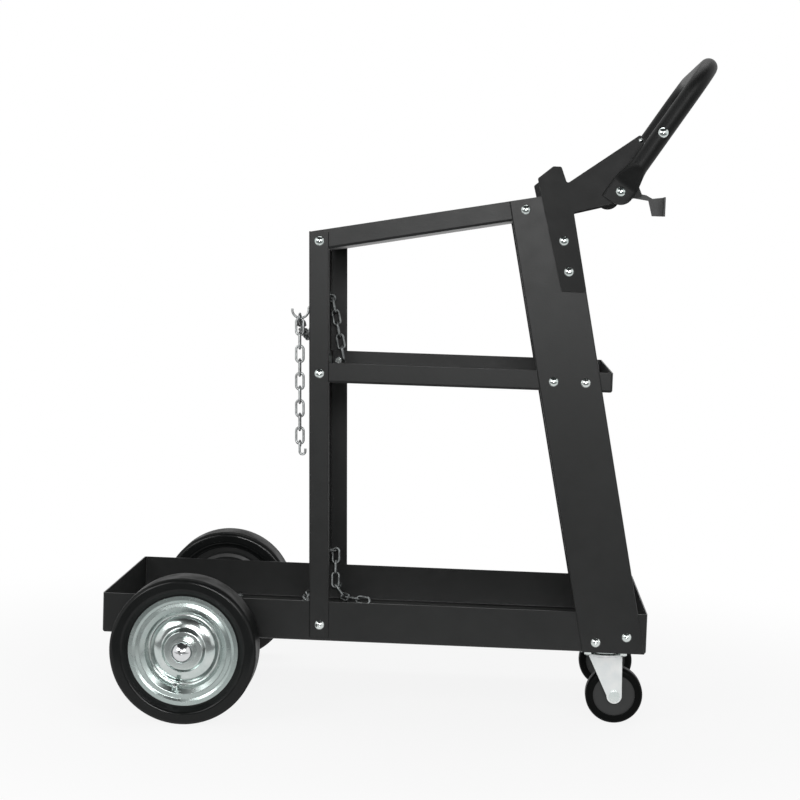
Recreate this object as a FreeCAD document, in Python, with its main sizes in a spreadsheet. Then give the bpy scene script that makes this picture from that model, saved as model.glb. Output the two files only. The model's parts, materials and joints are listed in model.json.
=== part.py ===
import FreeCAD, Part
import math
import os
from types import SimpleNamespace

import Sketcher

# Three-tier welding cart: millimetres and degrees, +X towards the handle, +Z up.
# Sketches measure x from the rear end of the bottom tray; every piece is then
# shifted so that the origin lies on the ground under the middle of the cart.

Vector = FreeCAD.Vector
doc = FreeCAD.newDocument("WeldingCart")

sizes = {
    # trays
    "overall_length": 729,
    "tray_length": 671,
    "tray_width": 302,
    "tray_sheet": 1.5,
    "tray_bend": 3,
    "bottom_wall": 49,
    "shelf_wall": 24,
    "shelf_overhang": 12,
    "middle_rise": 319,
    "top_rise": 479,
    "top_tilt": 10.4,
    "fit_gap": 0.5,
    # rear posts
    "post_setback": 257.4,
    "post_lean": 1.7,
    "post_flange": 24,
    "post_sheet": 2,
    "post_foot": 5,
    "post_bolt": 12.5,
    "keyhole_inset": 12,
    "keyhole_radius": 7,
    "keyhole_slot": 4,
    "keyhole_drop": 14,
    "upper_keyhole": 422,
    "lower_keyhole": 72,
    # front legs
    "leg_width": 74.5,
    "leg_lean": 11.3,
    "leg_inset": 2,
    "leg_sheet": 2,
    "leg_bolt": 18.5,
    "lip_depth": 12,
    "lip_gap": 3,
    "edge_round": 1.6,
    # bolts and nuts
    "bolt_diameter": 5,
    "bolt_clearance": 0.3,
    "bolt_tail": 1.5,
    "head_diameter": 12,
    "head_rise": 3.2,
    "nut_flats": 8,
    "nut_height": 4,
    "thread_gap": 0.05,
    "bottom_bolt_rise": 20,
    "shelf_bolt_rise": 11,
    # handle brackets
    "bracket_sheet": 2.5,
    "bracket_drop": 120,
    "bracket_width": 30,
    "bracket_bolt": 17.4,
    "bracket_bolt_high": 59,
    "bracket_bolt_low": 96,
    "bracket_round": 2.5,
    "arm_root": 24,
    "arm_nose_out": 24.8,
    "arm_nose_up": 10.3,
    "arm_neck_out": 11.5,
    "arm_neck_up": 19.3,
    "arm_half": 9.5,
    "arm_shoulder": 64,
    "arm_corner": 69,
    "arm_back": 20.2,
    "stud_up": 63.5,
    "stud_back": 16,
    "stud_radius": 1.5,
    "stud_head": 2.7,
    "stud_rise": 1.7,
    "notch_back": 4.5,
    "notch_rise": 10,
    "tab_back": 40,
    "tab_front": 12,
    "tab_rise": 30,
    "tab_bevel_run": 18,
    "tab_bevel_rise": 15,
    # handle
    "handle_angle": 56.7,
    "handle_reach": 60.1,
    "handle_lift": 2.3,
    "handle_bolts": 84.6,
    "handle_bend": 42,
    "tube_diameter": 22,
    "tube_wall": 1.5,
    "flare_top": 38,
    "flare_step": 0.05,
    "flat_top": 7.5,
    "flat_sheet": 4,
    "flat_gap": 0.04,
    # cable hook
    "hook_out": 28.9,
    "hook_down": 5.3,
    "hook_reach": 9.5,
    "hook_sheet": 2,
    "hook_fold": 14,
    "hook_tab": 15,
    "hook_drop": 23,
    # rear axle and wheels
    "wheel_diameter": 177.8,
    "axle_setback": 111.3,
    "axle_diameter": 10,
    "axle_gap": 0.9,
    "axle_overhang": 6,
    "ear_sheet": 3,
    "ear_length": 66,
    "ear_drop": 18,
    "ear_bevel": 10,
    "ear_tab": 20,
    "ear_tab_depth": 18,
    "wheel_gap": 27,
    "tyre_width": 50,
    "tyre_shoulder": 6,
    "bead_radius": 68.5,
    "bead_run": 6,
    "bead_drop": 7,
    "bead_round": 4,
    "hub_length": 50,
    "hub_radius": 16,
    "running_fit": 0.08,
    "side_play": 0.3,
    "rim_sheet": 1.6,
    "rim_radius": 66.6,
    "rim_bead": 16,
    "rim_well": 62,
    "groove_radius": 58.4,
    "groove_depth": 1.8,
    "ridge_radius": 53,
    "ridge_depth": 0.4,
    "dish_radius": 47,
    "dish_depth": 4.2,
    "gutter_radius": 43.2,
    "gutter_depth": 12.5,
    "dome_radius": 41,
    "dome_depth": 12,
    "bend_radius": 34.9,
    "bend_depth": 6.9,
    "collar_radius": 27,
    "collar_depth": 5.5,
    "collar_slope": 4,
    "collar_rise": 4,
    "rim_round": 1.5,
    "dome_round": 26,
    "collar_round": 2.5,
    "valve_radius": 3.4,
    "valve_length": 13,
    "valve_tilt": 42,
    "valve_angle": 259,
    "spacer_wall": 3,
    "washer_radius": 14.5,
    "washer_sheet": 1.6,
    "cap_radius": 13.2,
    "cap_height": 8.5,
    # casters
    "caster_inset": 48,
    "caster_track": 215,
    "caster_trail": 13,
    "caster_diameter": 71,
    "caster_width": 24,
    "caster_round": 6,
    "caster_core": 26,
    "caster_recess": 3,
    "plate_size": 62,
    "plate_sheet": 2.5,
    "plate_bolts": 44,
    "race_rim": 3.2,
    "race_wall": 1.5,
    "ball_diameter": 4.8,
    "ball_ring": 16.5,
    "ball_count": 16,
    "ball_gap": 0.3,
    "king_radius": 4.5,
    "king_head": 8,
    "king_head_rise": 2.5,
    "fork_sheet": 2.5,
    "fork_disc": 22,
    "fork_top_width": 42,
    "fork_end": 9.3,
    "fork_inside": 28,
    "caster_axle": 4,
    "caster_axle_head": 6.5,
    "caster_axle_rise": 4,
    "caster_nut_flats": 13,
    "caster_nut_height": 6,
    "bush_wall": 2,
    # chains
    "link_length": 23,
    "link_width": 12,
    "link_wire": 3,
    "link_gap": 0.3,
    "chain_standoff": 11.8,
    "lower_standoff": 7,
    "key_rest": 2.5,
    "inner_links": 5,
    "inner_lean": 12,
    "tail_links": 9,
    "keeper_leg": 1.5,
    "keeper_lip": 1.2,
    "hook_wire": 3,
    "hook_shank": 9,
    "hook_bowl": 3.5,
}

sheet = doc.addObject("Spreadsheet::Sheet", "Size")
for row, (name, number) in enumerate(sizes.items(), 1):
    sheet.set(f"A{row}", name)
    sheet.set(f"B{row}", str(number))
    sheet.setAlias(f"B{row}", name)
doc.recompute()


class Dim:
    """A dimension: the expression that a property is bound to, and its number."""

    def __init__(self, text, value):
        self.text = text
        self.value = value

    def __add__(self, other):
        other = as_dim(other)
        return Dim(f"({self.text} + {other.text})", self.value + other.value)

    def __sub__(self, other):
        other = as_dim(other)
        return Dim(f"({self.text} - {other.text})", self.value - other.value)

    def __mul__(self, other):
        other = as_dim(other)
        return Dim(f"({self.text} * {other.text})", self.value * other.value)

    def __truediv__(self, other):
        other = as_dim(other)
        return Dim(f"({self.text} / {other.text})", self.value / other.value)

    def __neg__(self):
        return Dim(f"(0 - {self.text})", -self.value)


def as_dim(amount):
    return amount if isinstance(amount, Dim) else Dim(f"({amount})", float(amount))


def sin(angle):
    return Dim(f"sin({angle.text})", math.sin(math.radians(angle.value)))


def cos(angle):
    return Dim(f"cos({angle.text})", math.cos(math.radians(angle.value)))


def tan(angle):
    return Dim(f"tan({angle.text})", math.tan(math.radians(angle.value)))


size = SimpleNamespace(**{name: Dim(f"Size.{name}", float(sheet.get(name))) for name in sizes})

# Shared places


def leaning(foot, angle):
    """A line that leans back from its foot on the level of the bottom tray: x for a height."""
    return lambda height: foot - (height - under) * tan(angle)


half = size.tray_width / 2
centre = size.overall_length / 2
wheel_radius = size.wheel_diameter / 2
under = wheel_radius + size.axle_diameter / 2 + size.axle_gap
middle = under + size.middle_rise
top = under + size.top_rise

post_rear = leaning(size.post_setback, size.post_lean)
post_run = size.post_sheet / cos(size.post_lean)
leg_front_foot = size.tray_length - size.leg_inset
leg_rear_foot = leg_front_foot - size.leg_width / cos(size.leg_lean)
leg_front = leaning(leg_front_foot, size.leg_lean)
leg_rear = leaning(leg_rear_foot, size.leg_lean)
leg_run = size.leg_sheet / cos(size.leg_lean)

rim_rear = top + size.shelf_wall * cos(size.top_tilt)
top_start = post_rear(rim_rear) + post_run + size.fit_gap + size.shelf_wall * sin(size.top_tilt)
middle_start = post_rear(middle) + post_run + size.fit_gap
middle_end = leg_front(middle) + size.shelf_overhang


def on_top_shelf(along, up):
    """A point of the sloped shelf, from its own length and height."""
    x = top_start + along * cos(size.top_tilt) - up * sin(size.top_tilt)
    return x, top + along * sin(size.top_tilt) + up * cos(size.top_tilt)


def top_shelf_crossing(foot, angle, up):
    """How far along the sloped shelf a leaning line crosses it at one height of its wall."""
    level = top + up * cos(size.top_tilt) - under
    gap = foot - level * tan(angle) - top_start + up * sin(size.top_tilt)
    return gap / (cos(size.top_tilt) + sin(size.top_tilt) * tan(angle))


shelf_bolt = size.shelf_bolt_rise
post_bolt_foot = size.post_setback + size.post_bolt / cos(size.post_lean)
post_bolt_line = leaning(post_bolt_foot, size.post_lean)
leg_bolt_foot = leg_rear_foot + size.leg_bolt
leg_bolt_rear = leaning(leg_bolt_foot, size.leg_lean)
leg_bolt_front = leaning(leg_front_foot - size.leg_bolt, size.leg_lean)
bottom_level = under + size.bottom_bolt_rise
middle_level = middle + shelf_bolt
post_top_along = top_shelf_crossing(post_bolt_foot, size.post_lean, shelf_bolt)
leg_top_along = top_shelf_crossing(leg_bolt_foot, size.leg_lean, shelf_bolt)

post_holes = [
    (post_bolt_line(bottom_level), bottom_level),
    (post_bolt_line(middle_level), middle_level),
    on_top_shelf(post_top_along, shelf_bolt),
]
leg_bolt_gap = leg_bolt_front(bottom_level) - leg_bolt_rear(bottom_level)
square_level = bottom_level - leg_bolt_gap * tan(size.leg_lean)
leg_holes = [
    (leg_bolt_rear(square_level), square_level),
    (leg_bolt_front(bottom_level), bottom_level),
    (leg_bolt_rear(middle_level), middle_level),
    (leg_bolt_front(middle_level), middle_level),
    on_top_shelf(leg_top_along, shelf_bolt),
]
leg_top_rear = on_top_shelf(
    top_shelf_crossing(leg_rear_foot, size.leg_lean, size.shelf_wall), size.shelf_wall)
leg_top_along_front = top_shelf_crossing(leg_front_foot, size.leg_lean, size.shelf_wall)
leg_top_front = on_top_shelf(leg_top_along_front, size.shelf_wall)
bracket_levels = [leg_top_front[1] - size.bracket_bolt_high, leg_top_front[1] - size.bracket_bolt_low]
bracket_holes = [(leg_front(level) - size.bracket_bolt, level) for level in bracket_levels]

tube_radius = size.tube_diameter / 2
bracket_inner = half + size.leg_sheet
bracket_outer = bracket_inner + size.bracket_sheet
tube_middle = bracket_outer + tube_radius
handle_foot = (leg_top_front[0] + size.handle_reach, leg_top_front[1] + size.handle_lift)


def on_handle(along, out):
    """A point in the side view from the lower handle bolt, along the tube and out to its front."""
    x = handle_foot[0] + along * cos(size.handle_angle) + out * sin(size.handle_angle)
    return x, handle_foot[1] + along * sin(size.handle_angle) - out * cos(size.handle_angle)


hole_radius = size.bolt_diameter / 2 + size.bolt_clearance
swivel_x = size.tray_length - size.caster_inset
swivel_y = size.caster_track / 2
wheel_middle = half + size.wheel_gap + size.tyre_width / 2
hub_inner_end = wheel_middle - size.hub_length / 2
hub_outer_end = wheel_middle + size.hub_length / 2
ear_outer = half
ear_bolt_x = size.ear_length / 2 - size.ear_tab / 2
ear_bolt_y = ear_outer - size.ear_tab_depth / 2
ear_holes = [(size.axle_setback - ear_bolt_x, ear_bolt_y), (size.axle_setback + ear_bolt_x, ear_bolt_y)]
plate_bottom = under - size.plate_sheet
fork_top = plate_bottom - size.ball_diameter - size.ball_gap * 2
caster_radius = size.caster_diameter / 2

# Ways of making a piece

pieces = []


def piece(obj, label):
    obj.Label = label
    pieces.append(obj)
    return obj


def bind(obj, name, amount):
    obj.setExpression(name, as_dim(amount).text)


def place(obj, x=0, y=0, z=0, axis=None, angle=0):
    """Puts a piece where its dimensions say; an angle turns it about the axis."""
    if axis:
        turn = as_dim(angle)
        obj.Placement = FreeCAD.Placement(Vector(), FreeCAD.Rotation(Vector(*axis), turn.value))
        bind(obj, "Placement.Rotation.Angle", turn)
    for letter, amount in zip("xyz", (as_dim(x) - centre, y, z)):
        bind(obj, f"Placement.Base.{letter}", amount)
    return obj


def mirrored(obj, label):
    copy = doc.addObject("Part::Mirroring", label)
    copy.Source = obj
    copy.Normal = Vector(0, 1, 0)
    return piece(copy, label)


def new_body(label):
    return piece(doc.addObject("PartDesign::Body", label), label)


def sketch_on(body, role, offset=None):
    sketch = body.newObject("Sketcher::SketchObject", "Sketch")
    origin_plane = [part for part in body.Origin.OriginFeatures if part.Role == role][0]
    sketch.AttachmentSupport = [(origin_plane, "")]
    sketch.MapMode = "FlatFace"
    if offset is not None:
        bind(sketch, "AttachmentOffset.Base.z", offset)
    return sketch


def fix_point(sketch, geometry, end, x, y):
    for kind, amount in (("DistanceX", as_dim(x)), ("DistanceY", as_dim(y))):
        rule = Sketcher.Constraint(kind, -1, 1, geometry, end, amount.value)
        bind(sketch, f"Constraints[{sketch.addConstraint(rule)}]", amount)


def polygon(sketch, points):
    corners = [Vector(as_dim(x).value, as_dim(y).value, 0) for x, y in points]
    lines = [
        sketch.addGeometry(Part.LineSegment(corners[i - 1], corners[i])) for i in range(len(corners))
    ]
    for i, line in enumerate(lines):
        sketch.addConstraint(Sketcher.Constraint("Coincident", lines[i - 1], 2, line, 1))
    for line, (x, y) in zip(lines, points):
        fix_point(sketch, line, 2, x, y)


def rectangle(sketch, x0, y0, x1, y1):
    polygon(sketch, [(x0, y0), (x1, y0), (x1, y1), (x0, y1)])


def circle(sketch, x, y, radius):
    radius = as_dim(radius)
    middle_point = Vector(as_dim(x).value, as_dim(y).value, 0)
    ring = sketch.addGeometry(Part.Circle(middle_point, Vector(0, 0, 1), radius.value))
    fix_point(sketch, ring, 3, x, y)
    rule = sketch.addConstraint(Sketcher.Constraint("Radius", ring, radius.value))
    bind(sketch, f"Constraints[{rule}]", radius)


def pad(body, sketch, length, both=False, back=False):
    feature = body.newObject("PartDesign::Pad", "Pad")
    feature.Profile = sketch
    feature.Reversed = back
    if both:
        feature.SideType = "Symmetric"
    bind(feature, "Length", length)
    return feature


def pocket(body, sketch, length=None):
    """Cuts to both sides of the sketch, right through or over one length."""
    doc.recompute()
    before = body.Tip.Shape.Volume
    feature = body.newObject("PartDesign::Pocket", "Pocket")
    feature.Profile = sketch
    feature.SideType = "Symmetric"
    if length is None:
        feature.Type = "ThroughAll"
    else:
        bind(feature, "Length", length)
    doc.recompute()
    if feature.Shape.Volume >= before:
        raise RuntimeError(f"a pocket of {body.Label} cuts nothing")
    return feature


def drill(body, role, points, radius):
    sketch = sketch_on(body, role)
    for x, y in points:
        circle(sketch, x, y, radius)
    return pocket(body, sketch)


def fillet(body, radius, chosen):
    doc.recompute()
    base = body.Tip
    names = [f"Edge{i}" for i, edge in enumerate(base.Shape.Edges, 1) if chosen(edge)]
    feature = body.newObject("PartDesign::Fillet", "Fillet")
    feature.Base = (base, names)
    bind(feature, "Radius", radius)
    return feature


def near(first, second):
    return abs(first - second) < 1e-4


def ring_edge(*radii):
    """Chooses the round edges that have one of the radii."""
    wanted = [as_dim(radius).value for radius in radii]
    return lambda edge: hasattr(edge.Curve, "Radius") and any(near(edge.Curve.Radius, r) for r in wanted)


def runs_across(edge):
    """Chooses the straight edges along Y."""
    return edge.Curve.TypeId == "Part::GeomLine" and near(abs(edge.Curve.Direction.y), 1)


def revolved(label, profile):
    """A ring about Z from points of radius and height."""
    body = new_body(label)
    sketch = sketch_on(body, "XZ_Plane")
    polygon(sketch, profile)
    feature = body.newObject("PartDesign::Revolution", "Revolution")
    feature.Profile = sketch
    feature.ReferenceAxis = (sketch, ["V_Axis"])
    feature.Angle = 360
    return body


def group(label, solids):
    feature = doc.addObject("Part::Feature", label)
    feature.Shape = Part.makeCompound(solids)
    return piece(feature, label)


# Trays


def tray(label, length, wall, side_holes):
    """A folded tray with its rear end at x = 0 and its underside at z = 0."""
    body = new_body(label)
    sketch = sketch_on(body, "XY_Plane")
    rectangle(sketch, 0, -half, length, half)
    pad(body, sketch, wall)
    doc.recompute()
    fillet(body, size.tray_bend, lambda edge: any(not near(v.Z, wall.value) for v in edge.Vertexes))
    doc.recompute()
    solid = body.Tip
    faces = enumerate(solid.Shape.Faces, 1)
    open_top = [f"Face{i}" for i, face in faces if near(face.BoundBox.ZMin, wall.value)]
    hollow = body.newObject("PartDesign::Thickness", "Thickness")
    hollow.Base = (solid, open_top)
    hollow.Reversed = True
    bind(hollow, "Value", size.tray_sheet)
    drill(body, "XZ_Plane", side_holes, hole_radius)
    return body


plate_offsets = [(a * size.plate_bolts / 2, b * size.plate_bolts / 2)
                 for a in (as_dim(-1), as_dim(1)) for b in (as_dim(-1), as_dim(1))]
caster_bolt_places = [(swivel_x + dx, side * swivel_y + dy)
                      for side in (as_dim(-1), as_dim(1)) for dx, dy in plate_offsets]
floor_bolt_places = caster_bolt_places + [(x, side * y)
                                          for side in (as_dim(-1), as_dim(1)) for x, y in ear_holes]

bottom_tray = tray("bottom_tray", size.tray_length, size.bottom_wall,
                   [(x, z - under) for x, z in [post_holes[0]] + leg_holes[:2]])
drill(bottom_tray, "XY_Plane", floor_bolt_places, hole_radius)
place(bottom_tray, z=under)

middle_tray = tray("middle_tray", middle_end - middle_start, size.shelf_wall,
                   [(x - middle_start, z - middle) for x, z in [post_holes[1]] + leg_holes[2:4]])
place(middle_tray, x=middle_start, z=middle)

top_tray = tray("top_tray", leg_top_along_front - size.fit_gap, size.shelf_wall,
                [(post_top_along, shelf_bolt), (leg_top_along, shelf_bolt)])
place(top_tray, x=top_start, z=top, axis=(0, -1, 0), angle=size.top_tilt)

# Posts and legs


def strip(line, run, low, high):
    """A narrow leaning strip in the side view, for a folded edge."""
    return [(line(low), low), (line(low) + run, low), (line(high) + run, high), (line(high), high)]


def upright(label, outline, thickness, folds, holes):
    """A sheet panel outside the trays with folded edges that point inwards."""
    body = new_body(label)
    sketch = sketch_on(body, "XZ_Plane")
    polygon(sketch, outline)
    pad(body, sketch, thickness)
    for depth, points in folds:
        sketch = sketch_on(body, "XZ_Plane")
        polygon(sketch, points)
        pad(body, sketch, depth, back=True)
    slope = [Vector(x.value, 0, z.value) for x, z in (outline[0], outline[-1])]
    direction = (slope[1] - slope[0]).normalize()

    def outer_corner(edge):
        if edge.Curve.TypeId != "Part::GeomLine" or not near(edge.Vertexes[0].Y, -thickness.value):
            return False
        along = abs(edge.Curve.Direction.dot(direction))
        return near(edge.Vertexes[1].Y, -thickness.value) and along > 0.9999

    fillet(body, size.edge_round, outer_corner)
    drill(body, "XZ_Plane", holes, hole_radius)
    return place(body, y=-half)


tray_clear = under + size.bottom_wall + size.lip_gap
post_low = under + size.post_foot
post_width = size.post_flange / cos(size.post_lean)
post = upright(
    "rear_post_right",
    [(post_rear(post_low), post_low), (post_rear(post_low) + post_width, post_low),
     (post_rear(rim_rear) + post_width, rim_rear), (post_rear(rim_rear), rim_rear)],
    size.post_sheet,
    [(size.post_flange - size.post_sheet, strip(post_rear, post_run, tray_clear, rim_rear))],
    post_holes)
keyhole_levels = [under + size.upper_keyhole, under + size.lower_keyhole]
key_sketch = sketch_on(post, "YZ_Plane")
for level in keyhole_levels:
    circle(key_sketch, size.keyhole_inset, level, size.keyhole_radius)
pocket(post, key_sketch)
slot_sketch = sketch_on(post, "YZ_Plane")
for level in keyhole_levels:
    rectangle(slot_sketch, size.keyhole_inset - size.keyhole_slot / 2, level - size.keyhole_drop,
              size.keyhole_inset + size.keyhole_slot / 2, level)
pocket(post, slot_sketch)
mirrored(post, "rear_post_left")

fold_rear = strip(leg_rear, leg_run, tray_clear, middle - size.lip_gap)
fold_front = strip(lambda z: leg_front(z) - leg_run, leg_run, tray_clear, middle - size.lip_gap)
shelf_clear = middle + size.shelf_wall + size.lip_gap
rear_end = on_top_shelf(top_shelf_crossing(leg_rear_foot, size.leg_lean, as_dim(0)), as_dim(0))[1]
front_end = on_top_shelf(
    top_shelf_crossing(leg_front_foot - leg_run, size.leg_lean, as_dim(0)), as_dim(0))[1]
leg_low = under
leg = upright(
    "front_leg_right",
    [(leg_rear(leg_low), leg_low), (leg_front(leg_low), leg_low), leg_top_front, leg_top_rear],
    size.leg_sheet,
    [(size.lip_depth, fold_rear), (size.lip_depth, fold_front),
     (size.lip_depth, strip(leg_rear, leg_run, shelf_clear, rear_end - size.lip_gap)),
     (size.lip_depth, strip(lambda z: leg_front(z) - leg_run, leg_run, shelf_clear,
                            front_end - size.lip_gap))],
    leg_holes + bracket_holes)
mirrored(leg, "front_leg_left")

# Handle brackets, handle and cable hook

bracket = new_body("handle_bracket_right")
corner_x, corner_z = leg_top_front
foot_level = corner_z - size.bracket_drop
root_level = corner_z - size.arm_root
bracket_sketch = sketch_on(bracket, "XZ_Plane")
polygon(bracket_sketch, [
    (leg_front(foot_level) - size.bracket_width, foot_level),
    (leg_front(foot_level), foot_level),
    (leg_front(root_level), root_level),
    on_handle(size.arm_nose_up, size.arm_nose_out),
    on_handle(size.arm_neck_up, size.arm_neck_out),
    on_handle(size.handle_bolts + size.arm_half, size.arm_half),
    on_handle(size.handle_bolts + size.arm_half, -size.arm_half),
    on_handle(size.arm_shoulder, -size.arm_half),
    on_handle(size.arm_corner, -size.arm_back),
    (corner_x - size.notch_back, corner_z + size.notch_rise),
    (corner_x - size.tab_front, corner_z + size.tab_rise),
    (corner_x - size.tab_back + size.tab_bevel_run, corner_z + size.tab_rise),
    (corner_x - size.tab_back, corner_z + size.tab_rise - size.tab_bevel_rise),
])
pad(bracket, bracket_sketch, size.bracket_sheet)
fillet(bracket, size.bracket_round, runs_across)
handle_holes = [on_handle(as_dim(0), as_dim(0)), on_handle(size.handle_bolts, as_dim(0))]
drill(bracket, "XZ_Plane", bracket_holes + handle_holes, hole_radius)
stud_place = on_handle(size.stud_up, -size.stud_back)
drill(bracket, "XZ_Plane", [stud_place], size.stud_radius + size.thread_gap)

place(bracket, y=-bracket_inner)
mirrored(bracket, "handle_bracket_left")

# The handle: a bent tube whose lower ends are pinched flat on the brackets
handle_start = on_handle(size.flare_top, as_dim(0))
handle_arm = (size.overall_length - tube_radius - handle_foot[0]) / cos(size.handle_angle)
handle_length = handle_arm - size.flare_top


def handle_path(body):
    """The U of the handle in its own plane, x up along the arms."""
    sketch = sketch_on(body, "XY_Plane")
    far, side, bend = handle_length.value, tube_middle.value, size.handle_bend.value
    turn = far - bend
    lines = [
        Part.LineSegment(Vector(0, -side, 0), Vector(turn, -side, 0)),
        Part.ArcOfCircle(Part.Circle(Vector(turn, bend - side, 0), Vector(0, 0, 1), bend), -math.pi / 2, 0),
        Part.LineSegment(Vector(far, bend - side, 0), Vector(far, side - bend, 0)),
        Part.ArcOfCircle(Part.Circle(Vector(turn, side - bend, 0), Vector(0, 0, 1), bend), 0, math.pi / 2),
        Part.LineSegment(Vector(turn, side, 0), Vector(0, side, 0)),
    ]
    for line in lines:
        sketch.addGeometry(line)
    for i in range(len(lines) - 1):
        sketch.addConstraint(Sketcher.Constraint("Tangent", i, 2, i + 1, 1))
    sketch.addConstraint(Sketcher.Constraint("Horizontal", 0))
    sketch.addConstraint(Sketcher.Constraint("Vertical", 2))
    sketch.addConstraint(Sketcher.Constraint("Horizontal", 4))
    sketch.addConstraint(Sketcher.Constraint("Symmetric", 0, 1, 4, 2, -1))
    sketch.addConstraint(Sketcher.Constraint("Equal", 1, 3))
    radius = sketch.addConstraint(Sketcher.Constraint("Radius", 1, bend))
    bind(sketch, f"Constraints[{radius}]", size.handle_bend)
    fix_point(sketch, 0, 1, 0, -tube_middle)
    reach = sketch.addConstraint(Sketcher.Constraint("DistanceX", -1, 1, 2, 1, far))
    bind(sketch, f"Constraints[{reach}]", handle_length)
    return sketch


bow = doc.addObject("PartDesign::Body", "handle_bow")
for kind, radius in (("Additive", tube_radius), ("Subtractive", tube_radius - size.tube_wall)):
    spine = handle_path(bow)
    section = sketch_on(bow, "YZ_Plane")
    circle(section, -tube_middle, 0, radius)
    pipe = bow.newObject(f"PartDesign::{kind}Pipe", f"{kind}Pipe")
    pipe.Profile = section
    pipe.Spine = spine
    doc.recompute()
drill(bow, "XZ_Plane", [(size.handle_bolts - size.flare_top, 0)], hole_radius)
place(bow, x=handle_start[0], z=handle_start[1], axis=(0, -1, 0), angle=size.handle_angle)

flat_half = size.flat_sheet.value / 2
quarter_turn = math.pi / 2
flat_wide = quarter_turn * tube_radius.value - (quarter_turn - 1) * flat_half


def powered(amount, power):
    return math.copysign(abs(amount) ** power, amount)


def pinched(share, along, skin):
    """A section of a handle end, round at share 0 and flat at 1, less a skin; its girth stays the same."""
    radius, count = tube_radius.value, 28
    thick = radius + (flat_half - radius) * share ** 2 * (3 - 2 * share)
    wide = quarter_turn * radius - (quarter_turn - 1) * thick
    middle = -bracket_outer.value - thick
    points = []
    for k in range(count):
        turn = 2 * math.pi * k / count
        out = powered(math.sin(turn), 1 / (1 + share)) * (thick - skin)
        side = powered(math.cos(turn), 1 / (1 + share)) * (wide - skin)
        points.append(Vector(along, middle + out, side))
    curve = Part.BSplineCurve()
    curve.interpolate(Points=points, PeriodicFlag=True)
    return Part.Wire(curve.toShape())


def flare(skin_top, skin_end):
    """The run of sections from the round tube down to the flat."""
    top, end, count = size.flare_top.value, size.flat_top.value, 6
    shares = [k / count for k in range(count + 1)]
    return Part.makeLoft([pinched(share, top + (end - top) * share, skin_top + (skin_end - skin_top) * share)
                          for share in shares], True)


def handle_end():
    """The pinched end on the right-hand side, with x along the tube from the lower bolt."""
    wall, step, gap = size.tube_wall.value, size.flare_step.value, size.flat_gap.value
    shell = flare(step, gap).cut(flare(wall - step, wall))
    flat = Part.Face(pinched(1, size.flat_top.value, gap)).extrude(Vector(-size.flat_top.value, 0, 0))
    tip = Part.Face(pinched(1, 0, gap)).extrude(Vector(-flat_wide, 0, 0))
    inner_face, axis, reach = Vector(0, -bracket_inner.value, 0), Vector(0, -1, 0), size.tube_diameter.value
    tip = tip.common(Part.makeCylinder(flat_wide, reach, inner_face, axis))
    return shell.fuse([flat, tip]).cut(Part.makeCylinder(hole_radius.value, reach, inner_face, axis))


ends = doc.addObject("Part::Feature", "handle_ends")
right_end = handle_end()
ends.Shape = Part.makeCompound([right_end, right_end.mirror(Vector(), Vector(0, 1, 0))])
place(ends, x=handle_foot[0], z=handle_foot[1], axis=(0, -1, 0), angle=size.handle_angle)
handle = doc.addObject("Part::MultiFuse", "handle_tube")
handle.Shapes = [bow, ends]
handle.Refine = True
piece(handle, "handle_tube")

hook_plate = new_body("cable_hook")
hook_sketch = sketch_on(hook_plate, "XZ_Plane")
hook_x = handle_foot[0] + size.hook_out
hook_z = handle_foot[1] - size.hook_down
polygon(hook_sketch, [
    (hook_x - size.hook_tab, hook_z + size.hook_reach / 2),
    (hook_x + size.hook_sheet, hook_z + size.hook_sheet),
    (hook_x + size.hook_reach, hook_z - size.hook_sheet),
    (hook_x + size.hook_reach + size.hook_tab, hook_z),
    (hook_x + size.hook_reach + size.hook_tab, hook_z - size.hook_drop),
    (hook_x + size.hook_reach, hook_z - size.hook_drop),
    (hook_x + size.hook_reach / 2, hook_z - size.hook_reach / 2),
    (hook_x - size.hook_tab, hook_z - size.hook_sheet),
])
pad(hook_plate, hook_sketch, size.hook_sheet, back=True)
fold_sketch = sketch_on(hook_plate, "XZ_Plane")
rectangle(fold_sketch, hook_x + size.hook_reach + size.hook_tab - size.hook_sheet, hook_z - size.hook_drop,
          hook_x + size.hook_reach + size.hook_tab, hook_z)
pad(hook_plate, fold_sketch, size.hook_fold)
place(hook_plate, y=-bracket_inner)

# Rear axle and wheels

axle_half = hub_outer_end + size.side_play * 2 + size.washer_sheet + size.axle_overhang
axle = piece(doc.addObject("Part::Cylinder", "axle"), "axle")
bind(axle, "Radius", size.axle_diameter / 2)
bind(axle, "Height", axle_half * 2)
place(axle, x=size.axle_setback, y=axle_half, z=wheel_radius, axis=(1, 0, 0), angle=90)

ear = new_body("axle_bracket_right")
ear_sketch = sketch_on(ear, "XZ_Plane")
ear_half = size.ear_length / 2
polygon(ear_sketch, [(-ear_half, 0), (-ear_half, size.ear_bevel - size.ear_drop),
                     (size.ear_bevel - ear_half, -size.ear_drop), (ear_half - size.ear_bevel, -size.ear_drop),
                     (ear_half, size.ear_bevel - size.ear_drop), (ear_half, 0)])
pad(ear, ear_sketch, size.ear_sheet, back=True)
for end in (as_dim(-1), as_dim(1)):
    tab_sketch = sketch_on(ear, "XZ_Plane")
    tab_end, tab_start = end * ear_half, end * (ear_half - size.ear_tab)
    rectangle(tab_sketch, tab_start, -size.ear_sheet, tab_end, 0)
    pad(ear, tab_sketch, size.ear_tab_depth, back=True)
drill(ear, "XZ_Plane", [(0, wheel_radius - under)], size.axle_diameter / 2 + size.thread_gap)
drill(ear, "XY_Plane", [(-ear_bolt_x, ear_outer - ear_bolt_y), (ear_bolt_x, ear_outer - ear_bolt_y)],
      hole_radius)
place(ear, x=size.axle_setback, y=-ear_outer, z=under)
mirrored(ear, "axle_bracket_left")


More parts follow.
